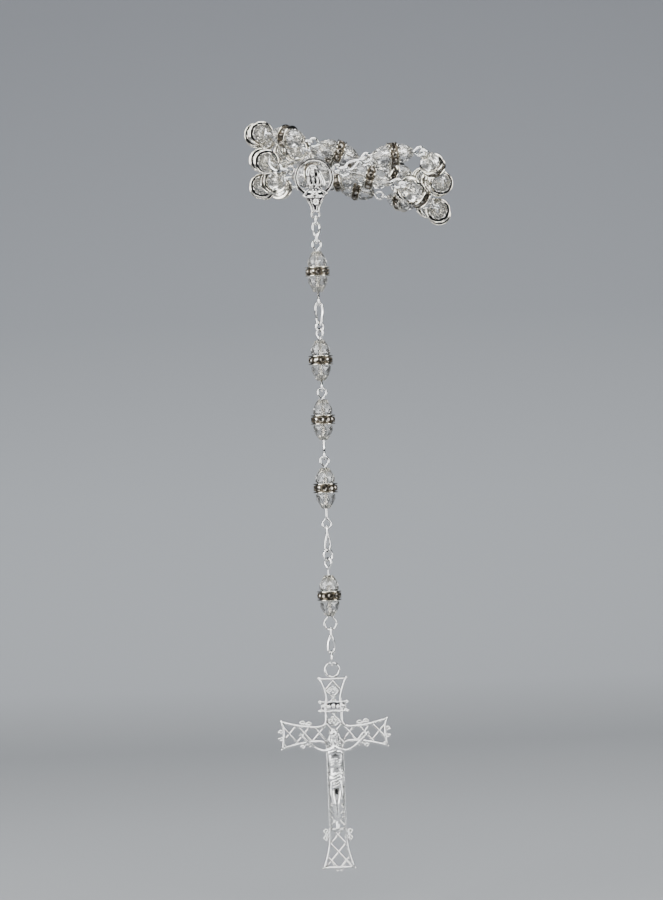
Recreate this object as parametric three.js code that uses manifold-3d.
// A rosary: faceted glass beads with rhinestone rondelles on silver wire, a centre medal and a crucifix.
// Millimetres, +Z up, +X right, -Y front. The loop is wound into a coil round a hand-sized opening, and
// the pendant hangs plumb from the centre medal in front of it. The origin is inside the coil's opening.
import * as THREE from 'three';
import { mergeVertices } from 'three/addons/utils/BufferGeometryUtils.js';
import Module from 'manifold-3d';

const wasm = await Module();
wasm.setup();

// ---- wire and hooks ----
const WIRE = 0.3; // radius of every wire
const HOOK = 0.68; // distance between the centre lines of two wires hooked in each other
const EYE = 1.05; // centre line radius of a bead's wire eye
const BIG_EYE = 1.5; // the last pendant bead's lower eye

// ---- one bead: crystal, rondelle, crystal on an eye pin ----
const RONDELLE_R = 3.05;
const RONDELLE_H = 2.4;
const CRYSTAL_H = 3.8;
const CRYSTAL_R = 2.45;
const CRYSTAL_TIP_R = 1.15;
const STACK_GAP = 0.06;
const BORE = 0.5;
const HALF_STACK = RONDELLE_H / 2 + CRYSTAL_H;
const EYE_GAP = 0.3; // from a crystal's tip to the eye above it
const LOOP_STUB = 0.6; // bare wire under a loop bead, before its lower eye

// ---- links ----
const LINK_SPAN = 5.6; // long link, wire centre to wire centre
const LINK_WIDTH = 1.75;
const RING_SPAN = 2.5;

// ---- the plumb line of the pendant ----
const PENDANT_X = -8.9;
const MEDAL_Y = -25;

// ---- centre medal ----
const MEDAL_Z = -2.6;
const MEDAL_R = 4.4; // middle of the rim
const RIM = 0.9;
const EYELET_R = 0.95;
const EYELET_Z = MEDAL_Z + 2.0;
const EYELET_X = 5.75;
const MEDAL_DROP = 10.1; // from the ring's centre to the bottom eyelet's lowest wire

// ---- the coil ----
const HALF_WIDTH = 23.4;
const COLUMN = 6.4; // distance between neighbouring turns
const FRONT_Y = -20;
const CORNER = 0.65; // the smaller, the squarer are the coil's ends
const RISE = 0.1; // the coil climbs towards the back
const COIL_KEYS = [ // [turns from the front, columns inwards, height]
  [-0.019, -0.78, -0.6], [0.0, -0.7, 0.3], [0.04, -0.5, 4], [0.085, -0.8, 5], [0.13, -0.85, 1.2],
  [0.17, -0.5, -4.2], [0.22, 0, -5.4], [0.4, -0.2, -1.8], [0.55, -0.2, 3.8], [0.68, -0.1, 8],
  [0.75, -0.1, 9.2], [0.82, -0.05, 9.6], [0.895, 0.3, 8.2], [0.985, 0.75, 3.6], [1.09, 1, -1],
  [1.22, 1, -7.2], [1.4, 1, -4.6], [1.6, 1, 2.2], [1.75, 1.05, 4.6], [1.9, 1.45, 5], [1.985, 1.9, 3],
  [2.1, 2, 0], [2.25, 2, -1.4], [2.42, 2.35, -2.4], [2.55, 1.95, -4], [2.64, 1, -4.8], [2.71, 0.2, -4.9],
  [2.79, 0, -3.8], [2.87, 0.1, -2.2], [2.94, 0.2, -1.2], [3.0, 0.2, -0.8], [3.06, 0, -2.6],
  [3.14, -0.35, -9], [3.22, 0, -12.8], [3.4, -0.3, -9.6], [3.55, -0.2, -3.4], [3.68, 0.05, 1.6],
  [3.8, 0, 2.9], [3.86, -0.5, 2.4], [3.89, -1.1, 1.6], [3.915, -1.3, -0.1], [3.925, -1.33, -0.6],
];

// ---- crucifix, measured from a point on the upright at the height of the head ----
const CROSS_TOP = 13.4;
const CROSS_FOOT = -33.8;
const CROSS_ARM = 13.2;
const ARM_MIDDLE = -0.5; // height of the arms' middle line
const CROSS_DEPTH = 1.1;
const BORDER = 0.62; // width of the raised border
const CROSS_RING = 1.75;
const STEM = 2.3; // half the upright's width
const TOP_BAR = 3.5; // half the top's width
const FOOT_BAR = 4.1; // half the foot's width
const ARM_HEIGHT = 2.45; // half the arms' height beside the crossing
const ARM_FLARE = 3.65; // half the arms' height at their ends
const LATTICE_WIRE = 0.26;

const silver = new THREE.MeshStandardMaterial({ color: 0xd9d9d6, roughness: 0.22, metalness: 1 });
const glass = new THREE.MeshStandardMaterial({ color: 0xeef3f2, roughness: 0.05, metalness: 0 });
const stones = new THREE.MeshStandardMaterial({ color: 0x8f8a7c, roughness: 0.2, metalness: 0.6 });

const rosary = new THREE.Group();

function addPiece(name, geometry, material, position, basis) {
  const mesh = new THREE.Mesh(geometry, material);
  mesh.name = name;
  if (basis) mesh.quaternion.setFromRotationMatrix(basis);
  mesh.position.copy(position);
  rosary.add(mesh);
}

// ---- solids ----
function solidOf(geometry) {
  const bare = geometry.clone();
  bare.deleteAttribute('normal');
  bare.deleteAttribute('uv');
  const merged = mergeVertices(bare, 1e-5);
  const vertProperties = Float32Array.from(merged.attributes.position.array);
  const triVerts = Uint32Array.from(merged.index.array);
  return new wasm.Manifold(new wasm.Mesh({ numProp: 3, vertProperties, triVerts }));
}

function geometryOf(solid) {
  const mesh = solid.getMesh();
  const geometry = new THREE.BufferGeometry();
  geometry.setAttribute('position', new THREE.BufferAttribute(Float32Array.from(mesh.vertProperties), 3));
  geometry.setIndex(Array.from(mesh.triVerts));
  return geometry;
}

function joined(geometries) {
  return geometryOf(geometries.map(solidOf).reduce((whole, next) => whole.add(next)));
}

// A solid turned about Z, from a profile of [radius, height] points.
function turned(profile, sides) {
  const outline = profile.map(([radius, z]) => new THREE.Vector2(radius, z));
  return new THREE.LatheGeometry(outline, sides).rotateX(Math.PI / 2);
}

// A round wire ring whose plane's normal is +Y turned by yaw about Z.
function ring(radius, yaw, wire = WIRE, sides = 4, steps = 12) {
  return new THREE.TorusGeometry(radius, wire, sides, steps).rotateX(Math.PI / 2).rotateZ(-yaw);
}

function rod(from, to, radius, sides = 6, endRadius = radius) {
  const along = new THREE.Vector3().subVectors(to, from);
  const geometry = new THREE.CylinderGeometry(endRadius, radius, along.length(), sides);
  geometry.translate(0, along.length() / 2, 0);
  const turn = new THREE.Quaternion().setFromUnitVectors(new THREE.Vector3(0, 1, 0), along.normalize());
  return geometry.applyQuaternion(turn).translate(from.x, from.y, from.z);
}

function ball(center, radii, wide = 6, high = 5) {
  const geometry = new THREE.SphereGeometry(1, wide, high).rotateX(Math.PI / 2);
  return geometry.scale(...radii).translate(center.x, center.y, center.z);
}

const at = (x, y, z) => new THREE.Vector3(x, y, z);

// ---- links of the chain, each along local Z from its near end at the top to its far end ----
function twistedLink(span, nearYaw, farYaw) {
  const half = LINK_WIDTH / 2;
  const straight = span / 2 - half;
  const softness = 0.35;
  const steps = 12;
  const points = [];
  for (let i = 0; i < steps; i += 1) {
    const angle = (2 * Math.PI * i) / steps;
    const push = (Math.cos(angle) * Math.hypot(1, softness)) / Math.hypot(Math.cos(angle), softness);
    const along = half * Math.cos(angle) + straight * push;
    const across = half * Math.sin(angle);
    const turn = THREE.MathUtils.smoothstep(-along, -span * 0.3, span * 0.3);
    const yaw = nearYaw + (farYaw - nearYaw) * turn;
    points.push(at(across * Math.cos(yaw), -across * Math.sin(yaw), along));
  }
  return new THREE.TubeGeometry(new THREE.CatmullRomCurve3(points, true), 16, WIRE, 4, true);
}

// ---- one bead's pieces, measured from the middle of its rondelle ----
function crystal() {
  const base = RONDELLE_H / 2 + STACK_GAP;
  return turned([
    [BORE, base], [CRYSTAL_R, base], [CRYSTAL_R * 0.86, base + 2], [CRYSTAL_TIP_R, HALF_STACK],
    [BORE, HALF_STACK], [BORE, base],
  ], 8);
}

function rondelle() {
  const half = RONDELLE_H / 2;
  const bevel = 0.3;
  return turned([
    [BORE, -half], [RONDELLE_R - bevel, -half], [RONDELLE_R, bevel - half], [RONDELLE_R, half - bevel],
    [RONDELLE_R - bevel, half], [BORE, half], [BORE, -half],
  ], 14);
}

const nearArm = (gap, eye) => HALF_STACK + gap + WIRE + 2 * eye;

function eyePin(bead) {
  const top = nearArm(bead.gap, bead.eye) - bead.eye;
  const bottom = bead.lowEye - nearArm(bead.stub, bead.lowEye);
  return joined([
    ring(bead.eye, bead.nearYaw).translate(0, 0, top),
    rod(at(0, 0, bottom + bead.lowEye), at(0, 0, top - bead.eye), WIRE),
    ring(bead.lowEye, bead.farYaw).translate(0, 0, bottom),
  ]);
}

// ---- the pendant, hung piece under piece on the plumb line ----
const FACE_ON = 0;
const EDGE_ON = Math.PI / 2;
const OBLIQUE = Math.PI / 4;
let hookZ = MEDAL_Z - MEDAL_DROP; // the lowest wire of the piece above

function hangPiece(name, geometry, span) {
  const top = hookZ + HOOK;
  addPiece(name, geometry, silver, at(PENDANT_X, MEDAL_Y, top - span / 2));
  hookZ = top - span;
}

const hangRing = (name, span, yaw) => hangPiece(name, ring(span / 2, yaw), span);
const hangLink = (name, span, near, far) => hangPiece(name, twistedLink(span, near, far), span);

function hangBead(name, bead) {
  const middle = at(PENDANT_X, MEDAL_Y, hookZ + HOOK - nearArm(bead.gap, bead.eye));
  addPiece(`${name}_upper_crystal`, crystal(), glass, middle);
  addPiece(`${name}_rondelle`, rondelle(), stones, middle);
  addPiece(`${name}_lower_crystal`, crystal().rotateX(Math.PI), glass, middle);
  addPiece(`${name}_eye_pin`, eyePin(bead), silver, middle);
  hookZ = middle.z - nearArm(bead.stub, bead.lowEye);
}

function pendantBead(stub, nearYaw, farYaw, extra = {}) {
  return { gap: EYE_GAP, eye: EYE, lowEye: EYE, stub, nearYaw, farYaw, ...extra };
}

hangRing('medal_drop_ring', 2.3, EDGE_ON);
hangLink('long_link_1', 5.1, FACE_ON, EDGE_ON);
hangBead('bead_1', pendantBead(0.88, FACE_ON, EDGE_ON));
hangLink('long_link_2', 5.4, FACE_ON, OBLIQUE);
hangRing('small_ring_1', 2.4, -OBLIQUE);
hangBead('bead_2', pendantBead(0.18, OBLIQUE, EDGE_ON));
hangBead('bead_3', pendantBead(2.38, FACE_ON, EDGE_ON));
hangBead('bead_4', pendantBead(2.6, FACE_ON, FACE_ON));
hangLink('long_link_3', 6.4, EDGE_ON, OBLIQUE);
hangRing('small_ring_2', 2.9, -OBLIQUE);
hangBead('bead_5', pendantBead(0.2, OBLIQUE, FACE_ON, { gap: 1.74, lowEye: BIG_EYE }));
hangLink('long_link_4', 6.5, EDGE_ON, FACE_ON);
hangRing('crucifix_ring', 3.6, EDGE_ON);

// ---- centre medal ----
function medalRim() {
  const inner = MEDAL_R - RIM / 2;
  const outer = MEDAL_R + RIM / 2;
  const half = 0.42;
  const profile = [[inner, -half], [outer, -half], [outer, half], [inner, half], [inner, -half]];
  return turned(profile, 24).rotateX(Math.PI / 2);
}

function medalFigure() {
  return [
    ball(at(0, 0.1, 0.9), [1.35, 0.7, 1.6]),
    ball(at(0, -0.45, 0.85), [0.8, 0.65, 1.05]),
    ball(at(0, 0, -2.3), [1.7, 0.6, 2.5]),
    rod(at(0, 0, -3.6), at(0, 0, -8.4), 1.9, 6, 0.42).scale(1, 0.35, 1),
    ball(at(0, -0.55, -5.9), [0.62, 0.5, 0.62]),
  ];
}

function medalRibbon(side) {
  return [
    rod(at(side * 2.9, 0, -4.3), at(side * 0.3, -0.2, -5.3), 0.38, 6, 0.3),
    rod(at(side * 2.9, 0, -4.3), at(side * 1.3, 0, -3.3), 0.38, 6, 0.4),
    ball(at(side * 4.7, 0, 1.85), [0.45, 0.4, 0.6]),
    ring(EYELET_R, FACE_ON).translate(side * EYELET_X, 0, EYELET_Z - MEDAL_Z),
  ];
}

const medal = joined([
  medalRim(), ...medalFigure(), ...medalRibbon(-1), ...medalRibbon(1),
  ring(EYELET_R, FACE_ON).translate(0, 0, EYELET_R - MEDAL_DROP),
]);
addPiece('centre_medal', medal, silver, at(PENDANT_X, MEDAL_Y, MEDAL_Z));

// ---- crucifix frame ----
// The outline drawn in by inset: across the top, down the right side, and back up the left.
function crossOutline(inset) {
  const shape = new THREE.Shape();
  const top = CROSS_TOP - inset;
  const foot = CROSS_FOOT + inset;
  const arm = CROSS_ARM - inset;
  const stem = STEM - inset;
  const rise = ARM_MIDDLE + ARM_HEIGHT - inset;
  const fall = ARM_MIDDLE - ARM_HEIGHT + inset;
  const high = ARM_MIDDLE + ARM_FLARE - inset;
  const low = ARM_MIDDLE - ARM_FLARE + inset;
  const waist = arm * 0.6;
  shape.moveTo(inset - TOP_BAR, top);
  shape.lineTo(TOP_BAR - inset, top);
  shape.quadraticCurveTo(stem, top - 2.4, stem, top - 5);
  shape.lineTo(stem, rise);
  shape.quadraticCurveTo(waist, rise, arm, high);
  shape.lineTo(arm, low);
  shape.quadraticCurveTo(waist, fall, stem, fall);
  shape.lineTo(stem, foot + 8);
  shape.quadraticCurveTo(stem, foot + 4, FOOT_BAR - inset, foot);
  shape.lineTo(inset - FOOT_BAR, foot);
  shape.quadraticCurveTo(-stem, foot + 4, -stem, foot + 8);
  shape.lineTo(-stem, fall);
  shape.quadraticCurveTo(-waist, fall, -arm, low);
  shape.lineTo(-arm, high);
  shape.quadraticCurveTo(-waist, rise, -stem, rise);
  shape.lineTo(-stem, top - 5);
  shape.quadraticCurveTo(-stem, top - 2.4, inset - TOP_BAR, top);
  return shape;
}

// A flat shape in the XZ plane, thick in Y and centred on it.
function plate(shape, thickness) {
  const settings = { depth: thickness, bevelEnabled: false, curveSegments: 3 };
  return new THREE.ExtrudeGeometry(shape, settings).rotateX(Math.PI / 2).translate(0, thickness / 2, 0);
}

// Two sets of slanting bars that cross each other behind the border.
function lattice() {
  const pitch = 4.2;
  const slope = 1.14;
  const bars = [];
  for (const lean of [-1, 1]) {
    const run = at(2 * CROSS_ARM, 0, 2 * CROSS_ARM * slope * lean);
    for (let z = CROSS_FOOT - 4 * pitch; z < CROSS_TOP + 4 * pitch; z += pitch) {
      const middle = at(0, 0, z);
      bars.push(rod(middle.clone().sub(run), middle.clone().add(run), LATTICE_WIRE, 4));
    }
  }
  return bars;
}

// Scrolls on the border's edge, and small balls on the cross's four ends.
function edgeCurls() {
  const onArm = (level) => [[6.1, ARM_MIDDLE + 2.95 * level], [7.9, ARM_MIDDLE + 3.1 * level]];
  const scrolls = [...onArm(-1), ...onArm(1), [2.65, -23.4], [2.65, -25.4]];
  const armBalls = [-1, 1].map((level) => [CROSS_ARM, ARM_MIDDLE + level]);
  const balls = [...armBalls, [TOP_BAR, CROSS_TOP - 0.3], [1.3, CROSS_FOOT]];
  const curls = [];
  for (const side of [-1, 1]) {
    for (const [x, z] of scrolls) curls.push(ball(at(side * x, 0, z), [0.68, 0.4, 0.68], 5, 4));
    for (const [x, z] of balls) curls.push(ball(at(side * x, 0, z), [0.45, 0.45, 0.45], 5, 4));
  }
  return curls;
}

// The plain scroll over the head, rolled at both ends.
function scrollBand() {
  const middle = 6.3;
  const halfRoll = 1.5;
  const band = new THREE.BoxGeometry(2 * TOP_BAR, 1.3, 2.6).translate(0, -0.3, middle);
  const rolls = [-1, 1].map((side) => {
    const foot = at(side * TOP_BAR, -0.4, middle - halfRoll);
    return rod(foot, foot.clone().setZ(middle + halfRoll), 0.5);
  });
  return [band, ...rolls];
}

function crucifixFrame() {
  const border = solidOf(plate(crossOutline(0), CROSS_DEPTH))
    .subtract(solidOf(plate(crossOutline(BORDER), CROSS_DEPTH * 2)));
  const field = solidOf(plate(crossOutline(BORDER / 2), CROSS_DEPTH));
  const bars = lattice().map(solidOf).reduce((whole, next) => whole.add(next)).intersect(field);
  const top = ring(CROSS_RING, FACE_ON).translate(0, 0, CROSS_TOP + CROSS_RING);
  const trim = [top, ...edgeCurls(), ...scrollBand()].map(solidOf);
  return geometryOf(trim.reduce((whole, next) => whole.add(next), border.add(bars)));
}

const crossZ = hookZ + HOOK - 2 * CROSS_RING - CROSS_TOP;
const crossing = at(PENDANT_X, MEDAL_Y, crossZ);
addPiece('crucifix_frame', crucifixFrame(), silver, crossing);

// ---- corpus, its back just clear of the frame ----
function limb(points, radii) {
  return points.slice(1).map((end, i) => rod(points[i], end, radii[i], 5, radii[i + 1]));
}

function corpusArm(side) {
  const route = [[1.3, -1.25, -4.2], [4, -1.2, -4.2], [6.6, -1.15, -2.1], [8.1, -1.1, -0.6]];
  const points = route.map(([x, y, z]) => at(side * x, y, z));
  return [...limb(points, [0.58, 0.45, 0.4, 0.34]), ball(points[3], [0.46, 0.42, 0.46])];
}

function corpusLeg(side) {
  const points = [at(side * 0.7, -1.35, -12), at(side * 0.5, -1.5, -17.2), at(side * 0.22, -1.2, -22.2)];
  return limb(points, [0.72, 0.52, 0.36]);
}

function corpus() {
  return joined([
    ball(at(0, -1.5, -0.3), [0.95, 0.85, 1.45]),
    rod(at(0, -1.35, -1.4), at(0, -1.3, -3.8), 0.45),
    ball(at(0, -1.38, -5.2), [1.75, 0.75, 2.1]),
    ball(at(0, -1.33, -8.2), [1.3, 0.68, 2.2]),
    ball(at(0, -1.43, -11.2), [1.65, 0.8, 2.2]),
    ball(at(0, -1.2, -22.6), [0.5, 0.5, 0.9]),
    ...corpusArm(-1), ...corpusArm(1), ...corpusLeg(-1), ...corpusLeg(1),
  ]);
}

addPiece('corpus', corpus(), silver, crossing);

// ---- the loop: its chain, wound along the coil ----
const BEADS_PER_DECADE = 10;
const DECADES = 5;
const beadPitch = nearArm(EYE_GAP, EYE) + nearArm(LOOP_STUB, EYE) - HOOK;
const linkPitch = LINK_SPAN - HOOK;
const ringPitch = RING_SPAN - HOOK;

function loopChain() {
  const chain = [{ name: 'loop_ring_1', kind: 'ring' }, { name: 'loop_link_1', kind: 'link' }];
  for (let decade = 1; decade <= DECADES; decade += 1) {
    chain.push({ name: `decade_${decade}`, kind: 'decade' });
    chain.push({ name: `loop_link_${2 * decade}`, kind: 'link' });
    chain.push({ name: `loop_ring_${2 * decade}`, kind: 'ring' });
    if (decade === DECADES) break;
    chain.push({ name: `father_bead_${decade}`, kind: 'bead' });
    chain.push({ name: `loop_link_${2 * decade + 1}`, kind: 'link' });
    chain.push({ name: `loop_ring_${2 * decade + 1}`, kind: 'ring' });
  }
  return chain;
}

function piecePitches(kind) {
  if (kind === 'ring') return [ringPitch];
  if (kind === 'link') return [linkPitch];
  return Array(kind === 'decade' ? BEADS_PER_DECADE : 1).fill(beadPitch);
}

// Cubic interpolation through the coil's keys; gives [columns inwards, height].
function coilKey(turns) {
  const last = COIL_KEYS.length - 2;
  let i = COIL_KEYS.findIndex((key) => key[0] > turns) - 1;
  if (i < 0) i = turns < COIL_KEYS[0][0] ? 0 : last;
  const key = (n) => COIL_KEYS[Math.min(Math.max(n, 0), last + 1)];
  const slope = (n, item) => (key(n + 1)[item] - key(n - 1)[item]) / (key(n + 1)[0] - key(n - 1)[0]);
  const width = key(i + 1)[0] - key(i)[0];
  const t = (turns - key(i)[0]) / width;
  return [1, 2].map((item) => {
    const from = key(i)[item] * (1 + 2 * t) * (1 - t) ** 2 + key(i + 1)[item] * t * t * (3 - 2 * t);
    return from + width * (slope(i, item) * t * (1 - t) ** 2 - slope(i + 1, item) * t * t * (1 - t));
  });
}

function coilPoint(turns, halfDepth) {
  const [column, height] = coilKey(turns);
  const angle = 2 * Math.PI * turns;
  const deep = (Math.cos(angle) * Math.hypot(1, CORNER)) / Math.hypot(Math.cos(angle), CORNER);
  const x = (HALF_WIDTH - COLUMN * column) * Math.sin(angle);
  const y = FRONT_Y + halfDepth - (halfDepth - COLUMN * column) * deep;
  return at(x, y, height + RISE * (y - FRONT_Y));
}

// The hooks between the chain's pieces, walked along the coil piece by piece from the right eyelet.
const EYELET_HOOK = EYELET_X + EYELET_R - HOOK / 2;
const rightHook = at(PENDANT_X + EYELET_HOOK, MEDAL_Y, EYELET_Z);
const leftHook = at(PENDANT_X - EYELET_HOOK, MEDAL_Y, EYELET_Z);

// It stops early where the coil is too short for the chain.
function walkCoil(pitches, halfDepth) {
  const hooks = [rightHook];
  const step = 0.0004;
  const end = COIL_KEYS[COIL_KEYS.length - 1][0];
  let turns = COIL_KEYS[0][0];
  for (const pitch of pitches.slice(0, -1)) {
    const from = hooks[hooks.length - 1];
    while (turns < end && coilPoint(turns, halfDepth).distanceTo(from) < pitch) turns += step;
    if (turns >= end) return hooks;
    const short = coilPoint(turns - step, halfDepth);
    const long = coilPoint(turns, halfDepth);
    const share = (pitch - short.distanceTo(from)) / (long.distanceTo(from) - short.distanceTo(from));
    hooks.push(short.lerp(long, share));
  }
  return hooks;
}

// The coil is as deep as the chain's length needs for its last ring to reach the left eyelet.
function fitCoil(pitches) {
  const lastPitch = pitches[pitches.length - 1];
  let [shallow, deep] = [25, 80];
  for (let i = 0; i < 30; i += 1) {
    const middle = (shallow + deep) / 2;
    const hooks = walkCoil(pitches, middle);
    const tooShort = hooks.length < pitches.length;
    if (tooShort || hooks[hooks.length - 1].distanceTo(leftHook) < lastPitch) shallow = middle;
    else deep = middle;
  }
  return [...walkCoil(pitches, deep), leftHook];
}

// Local Z runs back along the chain, local Y as nearly up as that allows.
function chainBasis(from, to) {
  const back = from.clone().sub(to).normalize();
  const up = at(0, 0, 1).addScaledVector(back, -back.z).normalize();
  return new THREE.Matrix4().makeBasis(up.clone().cross(back), up, back);
}

const loopNear = nearArm(EYE_GAP, EYE);
const loopFar = nearArm(LOOP_STUB, EYE);

// Where a bead sits between its two hooks.
function beadMatrix(from, to) {
  const along = to.clone().sub(from).normalize();
  const middle = from.clone().addScaledVector(along, loopNear - HOOK / 2);
  return chainBasis(from, to).setPosition(middle);
}

// A closed skin over six-sided rings; each station is [matrix, radius, z], from the top down.
function skin(stations) {
  const sides = 6;
  const points = stations.flatMap(([matrix, radius, z]) => Array.from({ length: sides }, (_, k) => {
    const angle = (2 * Math.PI * k) / sides;
    return at(radius * Math.cos(angle), radius * Math.sin(angle), z).applyMatrix4(matrix);
  }));
  const faces = [];
  for (let row = 0; row < stations.length - 1; row += 1) {
    for (let k = 0; k < sides; k += 1) {
      const [high, highNext] = [row * sides + k, row * sides + ((k + 1) % sides)];
      faces.push(high, high + sides, highNext + sides, high, highNext + sides, highNext);
    }
  }
  const bottom = points.length - sides;
  for (let k = 1; k < sides - 1; k += 1) faces.push(0, k, k + 1, bottom, bottom + k + 1, bottom + k);
  const geometry = new THREE.BufferGeometry().setFromPoints(points);
  geometry.setIndex(faces);
  return geometry;
}

// A run of beads from hook to hook, with an open eye at each end.
function beadRun(hooks, nearYaw, farYaw) {
  const neck = 0.45;
  const rim = RONDELLE_H / 2;
  const matrices = hooks.slice(1).map((to, i) => beadMatrix(hooks[i], to));
  const stations = matrices.flatMap((matrix, i) => [
    [matrix, neck, loopNear - (i === 0 ? 2 * EYE : HOOK / 2)], [matrix, CRYSTAL_TIP_R, HALF_STACK],
    [matrix, RONDELLE_R, rim], [matrix, RONDELLE_R, -rim], [matrix, CRYSTAL_TIP_R, -HALF_STACK],
  ]);
  const last = matrices[matrices.length - 1];
  stations.push([last, neck, 2 * EYE - loopFar]);
  return joined([
    ring(EYE, nearYaw).translate(0, 0, loopNear - EYE).applyMatrix4(matrices[0]),
    skin(stations),
    ring(EYE, farYaw).translate(0, 0, EYE - loopFar).applyMatrix4(last),
  ]);
}

function buildLoop() {
  const chain = loopChain();
  const hooks = fitCoil(chain.flatMap((item) => piecePitches(item.kind)));
  let first = 0;
  let nearYaw = FACE_ON;
  for (const { name, kind } of chain) {
    const count = piecePitches(kind).length;
    const own = hooks.slice(first, first + count + 1);
    const middle = own[0].clone().lerp(own[count], 0.5);
    const plain = kind === 'ring' || name === `decade_${DECADES}`;
    const farYaw = plain ? nearYaw : nearYaw + EDGE_ON;
    if (kind === 'ring') {
      addPiece(name, ring(RING_SPAN / 2, nearYaw), silver, middle, chainBasis(own[0], own[1]));
    } else if (kind === 'link') {
      addPiece(name, twistedLink(LINK_SPAN, nearYaw, farYaw), silver, middle, chainBasis(own[0], own[1]));
    } else {
      addPiece(name, beadRun(own, nearYaw, farYaw), glass, at(0, 0, 0));
    }
    nearYaw = farYaw + EDGE_ON;
    first += count;
  }
}

buildLoop();

export default rosary;
